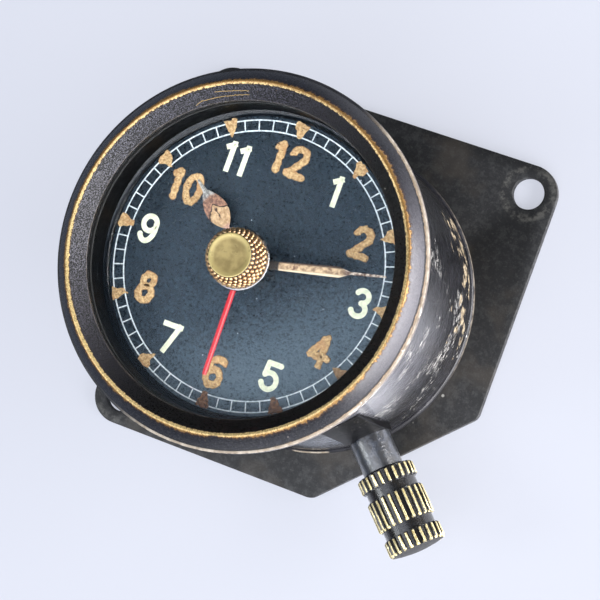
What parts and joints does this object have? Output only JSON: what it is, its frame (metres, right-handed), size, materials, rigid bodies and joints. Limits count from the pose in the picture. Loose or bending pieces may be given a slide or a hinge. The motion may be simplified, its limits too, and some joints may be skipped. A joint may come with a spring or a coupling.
{
  "type": "aircraft clock",
  "caption": "Round black panel clock on a square plate with a cut corner, ribbed side winder, luminous dial and a brass knob through the glass that sets a red marker hand.",
  "frame": {"origin": "middle of the square plate's back face, on the clock's axis", "axes": "+Z out of the dial, +Y towards 12 o'clock, +X towards 3 o'clock"},
  "size_m": [0.0671, 0.0671, 0.0524],
  "materials": {
    "black_enamel": "satin black stove enamel, worn to the metal on edges",
    "blue_black": "blue-black satin",
    "winder_brass": "brass with black left in the grooves",
    "bright_brass": "bright brass",
    "nickel": "nickel plate",
    "crystal": "clear flat glass",
    "gasket": "black gasket",
    "ring_black": "matt black",
    "dial_black": "matt blue-black",
    "hand_lume": "aged luminous paint",
    "marker_red": "bright red",
    "movement_brass": "brushed brass",
    "movement_steel": "ground steel",
    "blued_steel": "blued steel"
  },
  "bodies": {
    "case": {"mounting_plate": "black_enamel", "back_screws": "blued_steel", "case_drum": "black_enamel", "stem_boss": "black_enamel", "stem_tube": "blue_black", "bezel": "black_enamel", "crystal": "crystal", "crystal_gasket": "gasket", "spacer_ring": "ring_black", "dial": "dial_black", "dial_feet": "movement_brass", "back_plate": "movement_brass", "front_plate": "movement_brass", "movement_posts": "movement_brass", "movement_pillars": "movement_brass", "pillar_screws": "blued_steel", "click_spring": "blued_steel", "crown_stud": "blued_steel", "stem_bearing": "movement_brass", "hairspring": "blued_steel", "escapement_bridge": "movement_brass", "bridge_posts": "movement_brass", "bridge_screws": "blued_steel", "minute_stud": "movement_steel", "marker_bush": "nickel", "marker_nut": "nickel", "marker_spring": "nickel"},
    "minute": {"centre_arbor": "movement_steel", "centre_wheel": "movement_brass", "cannon_pinion": "movement_steel", "minute_hand": "hand_lume"},
    "hour": {"hour_wheel": "movement_brass", "hour_hand": "hand_lume"},
    "minute_wheel": {"minute_wheel": "movement_brass"},
    "barrel": {"barrel": "movement_brass", "barrel_cover": "movement_brass", "mainspring": "blued_steel"},
    "intermediate": {"intermediate_wheel": "movement_brass", "intermediate_arbor": "movement_steel"},
    "third": {"third_wheel": "movement_brass", "third_arbor": "movement_steel"},
    "fourth": {"fourth_wheel": "movement_brass", "fourth_arbor": "movement_steel"},
    "escape": {"escape_wheel": "movement_brass", "escape_arbor": "movement_steel"},
    "lever": {"pallet_lever": "movement_steel"},
    "balance": {"balance_wheel": "movement_brass", "balance_staff": "movement_steel"},
    "ratchet": {"ratchet_wheel": "movement_steel", "barrel_arbor": "movement_steel"},
    "crown_wheel": {"crown_wheel": "movement_steel"},
    "winding_pinion": {"winding_pinion": "movement_steel"},
    "winder": {"winding_stem": "movement_steel", "winding_crown": "winder_brass"},
    "click": {"click": "movement_steel"},
    "marker": {"marker_knob": "bright_brass", "marker_spindle": "movement_steel", "marker_hand": "marker_red"}
  },
  "joints": [
    {"name": "minute_turn", "type": "hinge", "parent": "case", "child": "minute", "pos_m": [0, 0, 0.0436], "axis": [0, 0, 1], "continuous": true},
    {"name": "minute_wheel_turn", "type": "hinge", "parent": "case", "child": "minute_wheel", "pos_m": [0.0036, 0.00624, 0.0355], "axis": [0, 0, 1], "continuous": true},
    {"name": "hour_turn", "type": "hinge", "parent": "case", "child": "hour", "pos_m": [0, 0, 0.0421], "axis": [0, 0, 1], "continuous": true},
    {"name": "intermediate_turn", "type": "hinge", "parent": "case", "child": "intermediate", "pos_m": [-0.00265, 0.00702, 0.0301], "axis": [0, 0, 1], "continuous": true},
    {"name": "barrel_turn", "type": "hinge", "parent": "case", "child": "barrel", "pos_m": [0.0081, 0.00809, 0.021], "axis": [0, 0, 1], "continuous": true},
    {"name": "third_turn", "type": "hinge", "parent": "case", "child": "third", "pos_m": [-0.00677, -0.00246, 0.0273], "axis": [0, 0, 1], "continuous": true},
    {"name": "fourth_turn", "type": "hinge", "parent": "case", "child": "fourth", "pos_m": [-0.00371, -0.00776, 0.0162], "axis": [0, 0, 1], "continuous": true},
    {"name": "escape_turn", "type": "hinge", "parent": "case", "child": "escape", "pos_m": [-0.00462, -0.01296, 0.0134], "axis": [0, 0, 1], "continuous": true},
    {"name": "balance_swing", "type": "hinge", "parent": "case", "child": "balance", "pos_m": [-0.01412, -0.00988, 0.0111], "axis": [0, 0, 1], "range_deg": [-20, 20], "stiffness_Nm_per_rad": 0.0000012},
    {"name": "lever_rock", "type": "hinge", "parent": "case", "child": "lever", "pos_m": [-0.00849, -0.01193, 0.0134], "axis": [0, 0, 1], "range_deg": [-8, 8]},
    {"name": "winding_turn", "type": "hinge", "parent": "case", "child": "winding_pinion", "pos_m": [0, 0, 0.0126], "axis": [0.7071, -0.7071, 0], "continuous": true},
    {"name": "crown_wheel_turn", "type": "hinge", "parent": "case", "child": "crown_wheel", "pos_m": [0.00708, -0.00708, 0.0097], "axis": [0, 0, 1], "continuous": true},
    {"name": "ratchet_turn", "type": "hinge", "parent": "case", "child": "ratchet", "pos_m": [0.0081, 0.00809, 0.0097], "axis": [0, 0, 1], "continuous": true},
    {"name": "crown_pull", "type": "slide", "parent": "winding_pinion", "child": "winder", "axis": [0.7071, -0.7071, 0], "range_m": [0, 0.0015]},
    {"name": "click_lift", "type": "hinge", "parent": "case", "child": "click", "pos_m": [0.002, 0.01865, 0.0096], "axis": [0, 0, 1], "range_deg": [0, 8], "stiffness_Nm_per_rad": 0.00002, "springref_deg": -5.73},
    {"name": "marker_turn", "type": "hinge", "parent": "case", "child": "marker", "pos_m": [0, 0, 0.049], "axis": [0, 0, 1], "continuous": true}
  ],
  "couplings": [
    {"joint": "minute_wheel_turn", "follows": "minute_turn", "ratio": -0.33333},
    {"joint": "hour_turn", "follows": "minute_turn", "ratio": 0.083333},
    {"joint": "intermediate_turn", "follows": "minute_turn", "ratio": -0.2},
    {"joint": "barrel_turn", "follows": "minute_turn", "ratio": 0.025},
    {"joint": "third_turn", "follows": "minute_turn", "ratio": -8},
    {"joint": "fourth_turn", "follows": "minute_turn", "ratio": 60},
    {"joint": "escape_turn", "follows": "minute_turn", "ratio": -600},
    {"joint": "lever_rock", "follows": "balance_swing", "ratio": -0.36364},
    {"joint": "crown_wheel_turn", "follows": "winding_turn", "ratio": 0.33333},
    {"joint": "ratchet_turn", "follows": "winding_turn", "ratio": -0.22963}
  ]
}
